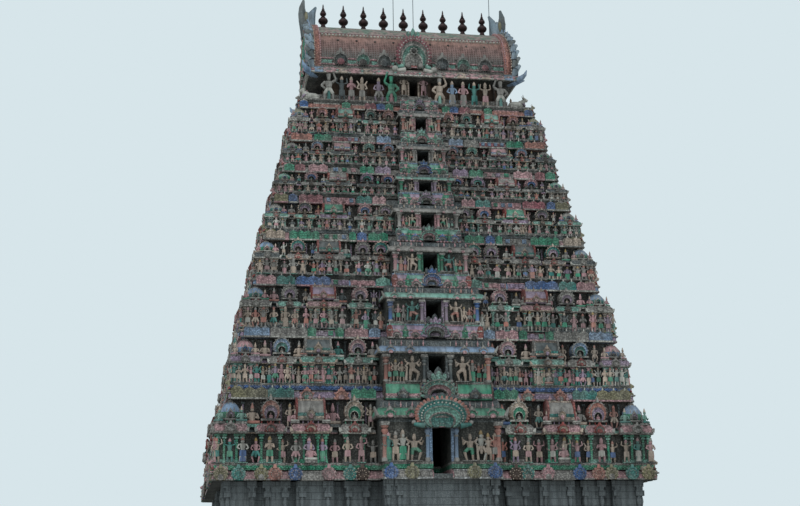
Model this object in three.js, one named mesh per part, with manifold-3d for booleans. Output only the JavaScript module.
// A nine-storey gopuram: the gateway tower of a South Indian temple, as a model at half its real size.
// X runs along the front, Y runs from the front to the back, and Z is up, with the origin on the
// ground under the tower's centre.
import * as THREE from "three";
import { mergeVertices } from "three/addons/utils/BufferGeometryUtils.js";
import Module from "manifold-3d";

const wasm = await Module();
wasm.setup();

// Driving dimensions, as real sizes in millimetres
const MODEL_SCALE = 0.5;
const GAP = 1;
const SINK = 20;

// Each storey stands on a cornice: the level of its underside, half its width along X at the lip,
// and half the width of the bay in the middle of the front
const STOREYS = [
  { level: 9320, halfWidth: 16600, bayHalf: 4500 },
  { level: 15310, halfWidth: 15450, bayHalf: 4150 },
  { level: 20060, halfWidth: 14600, bayHalf: 3600 },
  { level: 24230, halfWidth: 13650, bayHalf: 3000 },
  { level: 28040, halfWidth: 12850, bayHalf: 2500 },
  { level: 31240, halfWidth: 12070, bayHalf: 2150 },
  { level: 33990, halfWidth: 11340, bayHalf: 1900 },
  { level: 36800, halfWidth: 10700, bayHalf: 1650 },
  { level: 39900, halfWidth: 9940, bayHalf: 1500 },
];
const EAVE_LEVEL = 43380;
const BASE_HALF_DEPTH = 12600;
const DEPTH_PER_WIDTH = 0.95;

// Heights in a storey, as shares of it, and the cornice's band, which shrinks storey by storey
const BAND_HEIGHT = 1240;
const BAND_SHRINK = 40;
const LIP_SHARE = 0.6;
const DOOR_HEAD = 0.69;
const HOOD_TOP = 0.82;
const ROOF_BASE = 0.62;
const ROOF_TOP = 0.94;
const FIRST_SILL = 0.06;

// Shares of a storey's half width
const BAY_OUT = 0.078;
const DOOR_HALF = 0.042;
const CORE_IN = 0.09;
const RECESS_IN = 0.055;
const WALL_THICKNESS = 0.1;
const LIP_DEPTH = 0.03;
const HOOD_OUT = 0.022;

// The row of small shrines along each storey, from the bay to the corner: centre and half width along
// the front, and how far the shrine's face stands behind the cornice's lip
const CORNER_SHRINE = { half: 0.08, inset: 0.022 };
const GABLED_SHRINE = { half: 0.05, inset: 0.03 };
const LONG_SHRINE = { half: 0.085, inset: 0.018 };
const FRONT_ROW = [
  { kind: "gabled", centre: 0.375, ...GABLED_SHRINE },
  { kind: "long", centre: 0.57, ...LONG_SHRINE },
  { kind: "gabled", centre: 0.745, ...GABLED_SHRINE },
];
const SIDE_LONG_HALF = 0.12;
const ROOF_OVERHANG = 80;

// Horseshoe gables over the doorways, as shares of a storey's half width and height
const BAY_GABLE = { half: 0.07, height: 0.4, proud: 0.015 };
const GREAT_GABLE = { halfWidth: 2050, height: 2350, proud: 150 };

// Granite base and its gateway
const PLINTH_HEIGHT = 2600;
const PLINTH_SPREAD = 400;
const BASE_WALL_IN = 650;
const GATE_HALF = 2600;
const GATE_HEIGHT = 7200;
const GATE_BEARING = 900;

// Neck storey, barrel roof and its gables
const NECK_PLINTH_TOP = 41900;
const NECK_PLINTH = { halfWidth: 8200, halfDepth: 4500 };
const NECK = { halfWidth: 7400, halfDepth: 3700, thickness: 900, doorHalf: 370, bayFront: 4450 };
const EAVE = { halfWidth: 9000, halfDepth: 5400, height: 920, taper: 500 };
const VAULT = { halfLength: 8200, halfDepth: 4550, rise: 5250, ridgeHalf: 520, shell: 0.88 };
const GABLE = { outer: 9350, spread: 1.15 };
const NASIKA = { halfWidth: 1450, height: 4000, front: 5150 };
const KALASAM = { count: 9, spacing: 1790, radius: 430, height: 2350 };
const ROD = { radius: 30, top: 54000, places: { left: -895, centre: 895, right: 7850 } };

const COLOURS = {
  granite: 0x6f7478,
  storeys: [0x8f8a7c, 0x9a8478, 0x84897f, 0x958478, 0x8a8579, 0x8c7f78, 0x93807a, 0x97827a, 0x6b5a50],
  cornices: [0x6f8f7c, 0x6e8296, 0x7d8a86, 0x5f8f8a, 0x8a9078, 0x9a7570, 0x8f8078, 0xa37a6c, 0x9a7f7a],
  eave: 0x8b8f8a,
  vault: 0xb07f72,
  gable: 0x7288a0,
  nasika: 0x8f938c,
  kalasam: 0x3a2522,
  rod: 0x6a7076,
};

// Every size is rounded to a whole millimetre, so that pieces that share a plane share it exactly
const whole = Math.round;
const point = (x, y) => new THREE.Vector2(whole(x), whole(y));

// Solids: three.js geometry goes in and out of the library that joins and cuts them
function solid(geometry) {
  const bare = geometry.index ? geometry.toNonIndexed() : geometry.clone();
  bare.deleteAttribute("normal");
  bare.deleteAttribute("uv");
  const merged = mergeVertices(bare, 1e-3);
  const mesh = new wasm.Mesh({
    numProp: 3,
    vertProperties: merged.attributes.position.array,
    triVerts: new Uint32Array(merged.index.array),
  });
  return new wasm.Manifold(mesh);
}

function join(solids) {
  return solids.reduce((all, one) => all.add(one));
}

function geometryOf(shape) {
  const mesh = shape.getMesh();
  const geometry = new THREE.BufferGeometry();
  geometry.setAttribute("position", new THREE.BufferAttribute(mesh.vertProperties, 3));
  geometry.setIndex(new THREE.BufferAttribute(mesh.triVerts, 1));
  geometry.computeVertexNormals();
  return geometry;
}

function extrude(points, start, end) {
  const depth = whole(end) - whole(start);
  const shape = new THREE.Shape(points);
  return new THREE.ExtrudeGeometry(shape, { depth, bevelEnabled: false }).translate(0, 0, whole(start));
}

// A prism that stands on a plan outline, from one level to another
function prism(points, low, high) {
  return solid(extrude(points, low, high));
}

function block(x0, x1, y0, y1, z0, z1) {
  return prism([point(x0, y0), point(x1, y0), point(x1, y1), point(x0, y1)], z0, z1);
}

// A plate with an outline in X and Z, from one depth in Y to another
function plate(points, y0, y1) {
  return solid(extrude(points, -y1, -y0).rotateX(Math.PI / 2));
}

// A bar with a section in Y and Z, from one place in X to another
function bar(points, x0, x1) {
  const turn = new THREE.Matrix4().makeBasis(
    new THREE.Vector3(0, 1, 0),
    new THREE.Vector3(0, 0, 1),
    new THREE.Vector3(1, 0, 0),
  );
  return solid(extrude(points, x0, x1).applyMatrix4(turn));
}

// A turned shape on a vertical axis, from a profile of radii and heights that starts and ends on it
function turned(profile, sides, x, y, z) {
  const outline = profile.map(([radius, height]) => new THREE.Vector2(radius, height));
  const lathe = new THREE.LatheGeometry(outline, sides, Math.PI / sides);
  return solid(lathe.rotateX(Math.PI / 2).translate(x, y, z));
}

// A moulding: the same plan outline at several levels, each pushed out or in, closed by flat caps
function moulding(rings) {
  const count = rings[0].points.length;
  const positions = rings.flatMap(({ points, z }) => points.flatMap((p) => [p.x, p.y, whole(z)]));
  const index = [];
  for (let ring = 0; ring + 1 < rings.length; ring++) {
    for (let i = 0; i < count; i++) {
      const a = ring * count + i;
      const b = ring * count + ((i + 1) % count);
      index.push(a, b, b + count, a, b + count, a + count);
    }
  }
  const top = (rings.length - 1) * count;
  for (const [a, b, c] of THREE.ShapeUtils.triangulateShape(rings[0].points, [])) {
    index.push(a, c, b);
  }
  for (const [a, b, c] of THREE.ShapeUtils.triangulateShape(rings.at(-1).points, [])) {
    index.push(top + a, top + b, top + c);
  }
  const geometry = new THREE.BufferGeometry();
  geometry.setAttribute("position", new THREE.Float32BufferAttribute(positions, 3));
  geometry.setIndex(index);
  return solid(geometry);
}

const across = (points) => points.map((p) => point(p.x, -p.y)).reverse();
const mirrored = (points) => points.map((p) => point(-p.x, p.y)).reverse();

function rectangle(halfWidth, front, back) {
  return [point(-halfWidth, front), point(halfWidth, front), point(halfWidth, back), point(-halfWidth, back)];
}

// The plan of a storey's cornice, pushed out by a distance: a rectangle with a bay in front and behind
function cornicePlan(storey, push) {
  const { halfWidth, halfDepth, bayHalf, bayFront } = storey;
  const quarter = [
    point(bayHalf + push, -bayFront - push),
    point(bayHalf + push, -halfDepth - push),
    point(halfWidth + push, -halfDepth - push),
  ];
  const right = [...quarter, ...across(quarter)];
  return [...right, ...mirrored(right)];
}

// The right half of a mass that a passage cuts in two
function halfPlan(storey, push, passageHalf) {
  const right = cornicePlan(storey, push).slice(0, 6);
  return [point(passageHalf, right[0].y), ...right, point(passageHalf, right[5].y)];
}

// The outer line of a storey's right half, where shrines stand out of a recessed wall
function shrineLine(storey) {
  const { halfWidth: w, halfDepth: f, bayHalf, bayWall } = storey;
  const recessY = -(f - RECESS_IN * w);
  const recessX = w - RECESS_IN * w;
  const kutaY = -(f - CORNER_SHRINE.inset * w);
  const kutaX = w - CORNER_SHRINE.inset * w;
  const kutaSide = 2 * CORNER_SHRINE.half * w;
  const line = [point(bayHalf - GAP, -bayWall), point(bayHalf - GAP, recessY)];
  for (const { centre, half, inset } of FRONT_ROW) {
    const y = -(f - inset * w);
    const left = (centre - half) * w;
    const right = (centre + half) * w;
    line.push(point(left, recessY), point(left, y), point(right, y), point(right, recessY));
  }
  line.push(point(w - kutaSide, recessY), point(w - kutaSide, kutaY), point(kutaX, kutaY));
  line.push(point(kutaX, -(f - kutaSide)), point(recessX, -(f - kutaSide)));
  const longX = w - LONG_SHRINE.inset * w;
  line.push(point(recessX, -SIDE_LONG_HALF * w), point(longX, -SIDE_LONG_HALF * w));
  return line;
}

function sideGabledCentre({ halfWidth, halfDepth }) {
  const cornerEdge = halfDepth - 2 * CORNER_SHRINE.half * halfWidth;
  return (cornerEdge + SIDE_LONG_HALF * halfWidth) / 2;
}

// Outlines of the shrines' roofs, standing on level 0, with twice as many straight steps as segments
function horseshoe(halfWidth, height, segments = 2) {
  const arch = new THREE.Path();
  const start = -Math.PI / 5;
  arch.moveTo(-0.7 * halfWidth, 0);
  arch.lineTo(0.7 * halfWidth, 0);
  arch.absellipse(0, 0.42 * height, halfWidth, 0.58 * height, start, Math.PI - start, false, 0);
  return arch.getPoints(segments).slice(0, -1);
}

function barrel(halfDepth, height) {
  const section = new THREE.Path();
  section.moveTo(-halfDepth, 0);
  section.lineTo(halfDepth, 0);
  section.absellipse(0, 0.25 * height, halfDepth, 0.75 * height, 0, Math.PI, false, 0);
  return section.getPoints(2).slice(0, -1);
}

const raised = (points, z) => points.map((p) => point(p.x, p.y + z));
const shifted = (points, x) => points.map((p) => point(p.x + x, p.y));

function shrineRoofs(storey) {
  const { halfWidth: w, halfDepth: f } = storey;
  const base = storey.at(ROOF_BASE) - SINK;
  const height = storey.at(ROOF_TOP) - base;
  const coreY = f - CORE_IN * w - SINK;
  const coreX = w - CORE_IN * w - SINK;
  const roofs = [];
  for (const { kind, centre, half, inset } of FRONT_ROW) {
    const face = f - inset * w + ROOF_OVERHANG;
    const x = centre * w;
    if (kind === "gabled") {
      const outline = raised(shifted(horseshoe(half * w, height), x), base);
      roofs.push(plate(outline, -face, -coreY), plate(outline, coreY, face));
    } else {
      const halfDepth = (face - coreY) / 2;
      const section = raised(barrel(halfDepth, 0.9 * height), base);
      const middle = coreY + halfDepth;
      const reach = half * w + ROOF_OVERHANG;
      roofs.push(bar(shifted(section, -middle), x - reach, x + reach));
      roofs.push(bar(shifted(section, middle), x - reach, x + reach));
    }
  }
  const radius = CORNER_SHRINE.half * w;
  const dome = [[0, 0], [radius, 0], [radius, 0.3 * height], [0.62 * radius, 0.75 * height], [0, height]];
  for (const side of [-1, 1]) {
    roofs.push(turned(dome, 8, w - radius, side * (f - radius), base));
  }
  const gabled = raised(horseshoe(GABLED_SHRINE.half * w, height), base);
  for (const side of [-1, 1]) {
    const outline = shifted(gabled, side * sideGabledCentre(storey));
    roofs.push(bar(outline, coreX, w - GABLED_SHRINE.inset * w + ROOF_OVERHANG));
  }
  const longFace = w - LONG_SHRINE.inset * w + ROOF_OVERHANG;
  const longHalf = SIDE_LONG_HALF * w + ROOF_OVERHANG;
  const halfDepth = (longFace - coreX) / 2;
  const section = shifted(raised(barrel(halfDepth, 0.9 * height), base), coreX + halfDepth);
  roofs.push(plate(section, -longHalf, longHalf));
  return roofs;
}

// The right half of a storey's walls, with its shrines: a C in plan, open at the doorways
function storeyWall(storey) {
  const { bayHalf, bayWall, doorHalf, coreHalf, coreDepth, roomHalf, roomDepth } = storey;
  const floor = storey.floor + GAP;
  const line = shrineLine(storey);
  const room = [
    point(doorHalf, bayWall),
    point(doorHalf, roomDepth),
    point(roomHalf, roomDepth),
    point(roomHalf, -roomDepth),
    point(doorHalf, -roomDepth),
    point(doorHalf, -bayWall),
  ];
  const body = prism([...line, ...across(line), ...room], floor, storey.at(ROOF_BASE));
  const core = [
    point(bayHalf, -coreDepth),
    point(coreHalf, -coreDepth),
    point(coreHalf, coreDepth),
    point(bayHalf, coreDepth),
    point(bayHalf, roomDepth),
    point(roomHalf, roomDepth),
    point(roomHalf, -roomDepth),
    point(bayHalf, -roomDepth),
  ];
  const upper = prism(core, storey.at(ROOF_BASE) - SINK, storey.top - GAP);
  const headLevel = storey.at(DOOR_HEAD) - GAP;
  const jambBase = storey.at(ROOF_BASE) - SINK;
  const frontJamb = block(doorHalf, bayHalf - GAP, -bayWall, -roomDepth, jambBase, headLevel);
  const backJamb = block(doorHalf, bayHalf - GAP, roomDepth, bayWall, jambBase, headLevel);
  return join([body, upper, frontJamb, backJamb, ...shrineRoofs(storey)]);
}

// The head over a storey's doorway: a lintel under a curved hood, which runs back into the next cornice
function doorHead(storey, next) {
  const { bayHalf, bayWall, roomDepth, coreDepth, hoodOut } = storey;
  const low = storey.at(DOOR_HEAD);
  const hood = storey.at(HOOD_TOP);
  const top = storey.top + SINK;
  const inner = bayHalf - 2 * GAP;
  const ring = (half, front, back, z) => ({ z, points: rectangle(half, -front, -back) });
  const nextFront = next.bayFront - SINK;
  const lintel = moulding([
    ring(inner, bayWall, roomDepth, low),
    ring(inner, bayWall, roomDepth, hood),
    ring(inner, nextFront, roomDepth, top),
  ]);
  const eave = moulding([
    ring(bayHalf + hoodOut, bayWall + hoodOut, coreDepth + 50, low),
    ring(bayHalf + hoodOut, bayWall + hoodOut, coreDepth + 50, low + 0.4 * hoodOut),
    ring(bayHalf - 50, bayWall - 50, coreDepth + 50, hood),
  ]);
  return [lintel, eave];
}

// The horseshoe gable in the middle of a cornice, in front of the doorway
function bayGable(storey) {
  const halfWidth = BAY_GABLE.half * storey.halfWidth;
  const height = BAY_GABLE.height * storey.height;
  const outline = raised(horseshoe(halfWidth, height), storey.level + 50);
  const front = storey.bayFront + BAY_GABLE.proud * storey.halfWidth;
  return plate(outline, -front, -storey.bayWall - 3 * GAP);
}

const turnedRound = (shape) => solid(geometryOf(shape).rotateZ(Math.PI));

// A cornice: a curved lip and a frieze round a floor, with the door heads of the storey below
function cornice(storey, below) {
  const { lipDepth, level, floor } = storey;
  const lip = LIP_SHARE * (floor - level);
  const slab = moulding([
    { z: level, points: cornicePlan(storey, 0) },
    { z: level + 0.55 * lip, points: cornicePlan(storey, -0.35 * lipDepth) },
    { z: level + lip, points: cornicePlan(storey, -lipDepth) },
    { z: level + lip, points: cornicePlan(storey, -0.5 * lipDepth) },
    { z: floor, points: cornicePlan(storey, -0.5 * lipDepth) },
  ]);
  const fronts = [bayGable(storey)];
  if (below) {
    fronts.push(...doorHead(below, storey));
  }
  if (storey.number === 2) {
    fronts.push(greatGable(below));
  }
  return join([slab, ...fronts, ...fronts.map(turnedRound)]);
}

// The largest horseshoe gable, over the first storey's doorway
function greatGable(storey) {
  const base = storey.at(DOOR_HEAD) + SINK;
  const outline = raised(horseshoe(GREAT_GABLE.halfWidth, GREAT_GABLE.height, 4), base);
  return plate(outline, -storey.bayWall - storey.hoodOut - GREAT_GABLE.proud, -storey.bayWall + 3 * SINK);
}

// Granite base: moulded plinths, walls with shallow projections, and the ceiling of the gateway
function plinth() {
  const first = STOREY_LIST[0];
  const ring = (z, push) => ({ z, points: halfPlan(first, push, GATE_HALF) });
  return moulding([
    ring(0, PLINTH_SPREAD),
    ring(0.22 * PLINTH_HEIGHT, PLINTH_SPREAD),
    ring(0.3 * PLINTH_HEIGHT, 0.2 * PLINTH_SPREAD),
    ring(0.45 * PLINTH_HEIGHT, 0.55 * PLINTH_SPREAD),
    ring(0.6 * PLINTH_HEIGHT, 0),
    ring(0.8 * PLINTH_HEIGHT, -0.5 * PLINTH_SPREAD),
    ring(0.82 * PLINTH_HEIGHT, 0.3 * PLINTH_SPREAD),
    ring(PLINTH_HEIGHT, 0.3 * PLINTH_SPREAD),
  ]);
}

function baseWall() {
  const first = STOREY_LIST[0];
  const { halfWidth, halfDepth, bayHalf, bayFront } = first;
  const wall = {
    ...first,
    halfWidth: halfWidth - BASE_WALL_IN,
    halfDepth: halfDepth - BASE_WALL_IN,
    bayHalf: bayHalf - BASE_WALL_IN / 2,
    bayWall: bayFront - BASE_WALL_IN,
  };
  const line = shrineLine(wall);
  const gate = [point(GATE_HALF, wall.bayWall), point(GATE_HALF, -wall.bayWall)];
  const mass = prism([...line, ...across(line), ...gate], PLINTH_HEIGHT + GAP, first.level - GAP);
  const bearing = GATE_HALF + GATE_BEARING;
  const rebate = block(0, bearing, -BASE_HALF_DEPTH * 2, BASE_HALF_DEPTH * 2, GATE_HEIGHT - GAP, first.level);
  return mass.subtract(rebate);
}

function gatewayCeiling() {
  const first = STOREY_LIST[0];
  const front = first.bayFront - BASE_WALL_IN;
  const half = GATE_HALF + GATE_BEARING - GAP;
  return block(-half, half, -front, front, GATE_HEIGHT, first.level - GAP);
}

// Neck storey: a high plinth on the last cornice, and dark walls set well back
function neckPlinth(storey) {
  const { halfWidth, halfDepth } = NECK_PLINTH;
  const low = storey.floor - SINK;
  const step = (NECK_PLINTH_TOP - storey.floor) / 2;
  return [
    block(-halfWidth, halfWidth, -halfDepth, halfDepth, low, NECK_PLINTH_TOP),
    block(-halfWidth - step, halfWidth + step, -halfDepth - step / 2, halfDepth + step / 2, low, low + step),
    block(-storey.bayHalf, storey.bayHalf, -NECK.bayFront - 200, NECK.bayFront + 200, low, NECK_PLINTH_TOP),
  ];
}

function neckWall(storey) {
  const { halfWidth, halfDepth, thickness, doorHalf, bayFront } = NECK;
  const outer = [
    point(doorHalf, -bayFront),
    point(storey.bayHalf, -bayFront),
    point(storey.bayHalf, -halfDepth),
    point(halfWidth, -halfDepth),
  ];
  const inner = [
    point(doorHalf, halfDepth - thickness),
    point(halfWidth - thickness, halfDepth - thickness),
    point(halfWidth - thickness, thickness - halfDepth),
    point(doorHalf, thickness - halfDepth),
  ];
  return prism([...outer, ...across(outer), ...inner], NECK_PLINTH_TOP + GAP, EAVE_LEVEL - GAP);
}

// Eave under the barrel roof, with an upturned tip at each corner
function vaultEave() {
  const { halfWidth, halfDepth, height, taper } = EAVE;
  const ring = (share, z) => {
    const half = halfDepth - share * taper;
    return { z: EAVE_LEVEL + z * height, points: rectangle(halfWidth - share * taper, -half, half) };
  };
  const slab = moulding([ring(0, 0), ring(0, 0.2), ring(0.5, 0.7), ring(1, 1)]);
  const tips = [];
  for (const x of [-1, 1]) {
    for (const y of [-1, 1]) {
      const tip = new THREE.ConeGeometry(380, 1900, 5).translate(0, 500, 0);
      tip.rotateZ(-x * 1.05).rotateX(y * 0.55);
      tips.push(solid(tip.translate(x * (halfWidth - 500), y * (halfDepth - 450), EAVE_LEVEL + 350)));
    }
  }
  return join([slab, ...tips]);
}

// The section of the barrel roof, scaled about its springing line
function vaultSection(scale) {
  const { halfDepth, rise, ridgeHalf } = VAULT;
  const side = new THREE.CubicBezierCurve(
    point(halfDepth, 0),
    point(1.13 * halfDepth, 0.45 * rise),
    point(0.72 * halfDepth, 0.9 * rise),
    point(ridgeHalf, rise),
  );
  const right = side.getPoints(7).map((p) => point(p.x * scale, p.y * scale));
  const spring = EAVE_LEVEL + EAVE.height + GAP;
  return raised([...right, ...mirrored(right)], spring);
}

function barrelVault() {
  const { halfLength, shell } = VAULT;
  const outer = bar(vaultSection(1), -halfLength, halfLength);
  const hollow = bar(raised(vaultSection(shell), -SINK), -halfLength - SINK, halfLength + SINK);
  return outer.subtract(hollow);
}

// A gable end: a rim that stands proud of the roof all round, with a forked horn on top
function gableEnd() {
  const inner = VAULT.halfLength + GAP;
  const rim = bar(vaultSection(GABLE.spread), inner, GABLE.outer);
  const top = EAVE_LEVEL + EAVE.height + GABLE.spread * VAULT.rise;
  const horn = [
    point(inner + 150, top - 400),
    point(GABLE.outer - 50, top - 400),
    point(GABLE.outer - 150, top + 900),
    point(GABLE.outer - 200, top + 1750),
    point(GABLE.outer - 600, top + 700),
    point(inner - 180, top + 1050),
    point(inner - 50, top + 350),
  ];
  return join([rim, plate(horn, -450, 450)]);
}

// The horseshoe dormer in the middle of the roof, cut where it meets the roof's curve
function frontNasika() {
  const spring = EAVE_LEVEL + EAVE.height + GAP;
  const face = plate(raised(horseshoe(NASIKA.halfWidth, 3050, 4), spring), -NASIKA.front, -1500);
  const crest = [point(-330, 2700), point(330, 2700), point(450, 3400), point(0, NASIKA.height), point(-450, 3400)];
  const roof = bar(vaultSection(1 + (2 * GAP) / VAULT.halfDepth), -5000, 5000);
  return join([face, plate(raised(crest, spring), -NASIKA.front + 300, -2300)]).subtract(roof);
}

// What stands on the ridge starts a gap above it
const ridgeLevel = () => EAVE_LEVEL + EAVE.height + GAP + VAULT.rise + GAP;

// A kalasam: a foot, a round pot, a second smaller pot and a spike
function kalasam(x) {
  const { radius: r, height: h } = KALASAM;
  const profile = [
    [0, 0],
    [0.85 * r, 0],
    [0.6 * r, 0.1 * h],
    [0.4 * r, 0.16 * h],
    [r, 0.29 * h],
    [r, 0.37 * h],
    [0.3 * r, 0.52 * h],
    [0.62 * r, 0.62 * h],
    [0.3 * r, 0.72 * h],
    [0.12 * r, 0.88 * h],
    [0, h],
  ];
  return turned(profile, 8, x, 0, ridgeLevel());
}

function lightningRod(x) {
  const height = ROD.top - ridgeLevel();
  return turned([[0, 0], [ROD.radius, 0], [ROD.radius, height], [0, height]], 8, x, 0, ridgeLevel());
}

// Worked-out sizes of each storey
const STOREY_LIST = STOREYS.map(({ level, halfWidth, bayHalf }, i) => {
  const top = i + 1 < STOREYS.length ? STOREYS[i + 1].level : EAVE_LEVEL;
  const halfDepth = BASE_HALF_DEPTH - DEPTH_PER_WIDTH * (STOREYS[0].halfWidth - halfWidth);
  const height = top - level;
  return {
    number: i + 1,
    level,
    top,
    height,
    halfWidth,
    halfDepth,
    bayHalf,
    floor: level + BAND_HEIGHT - i * BAND_SHRINK,
    bayFront: halfDepth + BAY_OUT * halfWidth,
    bayWall: halfDepth + (BAY_OUT - LIP_DEPTH) * halfWidth,
    doorHalf: DOOR_HALF * halfWidth,
    coreHalf: halfWidth - CORE_IN * halfWidth,
    coreDepth: halfDepth - CORE_IN * halfWidth,
    roomHalf: halfWidth - (CORE_IN + WALL_THICKNESS) * halfWidth,
    roomDepth: halfDepth - (CORE_IN + WALL_THICKNESS) * halfWidth,
    lipDepth: LIP_DEPTH * halfWidth,
    hoodOut: HOOD_OUT * halfWidth,
    at: (share) => whole(level + share * height),
  };
});

// The first doorway's sill is lower than the floor behind it
function firstSill(storey) {
  const { doorHalf, bayFront, roomDepth } = storey;
  const low = storey.at(FIRST_SILL);
  const high = storey.floor + SINK;
  const front = block(-doorHalf, doorHalf, -bayFront * 2, -roomDepth, low, high);
  return front.add(turnedRound(front));
}

const tower = new THREE.Group();
tower.scale.setScalar(MODEL_SCALE);

function place(name, shape, colour, finish = {}) {
  const { roughness = 0.85, metalness = 0, flip = false } = finish;
  const material = new THREE.MeshStandardMaterial({ color: colour, roughness, metalness });
  const mesh = new THREE.Mesh(geometryOf(shape), material);
  mesh.name = name;
  if (flip) {
    mesh.scale.x = -1;
  }
  tower.add(mesh);
}

function placePair(left, right, shape, colour) {
  place(right, shape, colour);
  place(left, shape, colour, { flip: true });
}

placePair("left_plinth", "right_plinth", plinth(), COLOURS.granite);
placePair("left_base_wall", "right_base_wall", baseWall(), COLOURS.granite);
place("gateway_ceiling", gatewayCeiling(), COLOURS.granite);

STOREY_LIST.forEach((storey, i) => {
  const last = i + 1 === STOREY_LIST.length;
  let band = cornice(storey, STOREY_LIST[i - 1]);
  if (i === 0) {
    band = band.subtract(firstSill(storey));
  }
  if (last) {
    band = join([band, ...neckPlinth(storey)]);
  }
  place(`tier${storey.number}_cornice`, band, COLOURS.cornices[i]);
  if (!last) {
    const names = [`tier${storey.number}_left_wall`, `tier${storey.number}_right_wall`];
    placePair(...names, storeyWall(storey), COLOURS.storeys[i]);
  } else {
    placePair("neck_left_wall", "neck_right_wall", neckWall(storey), COLOURS.storeys[i]);
  }
});

place("vault_eave", vaultEave(), COLOURS.eave);
place("barrel_vault", barrelVault(), COLOURS.vault);
placePair("left_gable", "right_gable", gableEnd(), COLOURS.gable);
const nasika = frontNasika();
place("front_nasika", nasika, COLOURS.nasika);
place("back_nasika", turnedRound(nasika), COLOURS.nasika);

const METAL = { roughness: 0.5, metalness: 0.8 };
for (let i = 0; i < KALASAM.count; i++) {
  const x = (i - (KALASAM.count - 1) / 2) * KALASAM.spacing;
  place(`kalasam_${i + 1}`, kalasam(x), COLOURS.kalasam, METAL);
}
for (const [side, x] of Object.entries(ROD.places)) {
  place(`lightning_rod_${side}`, lightningRod(x), COLOURS.rod, METAL);
}

export default tower;
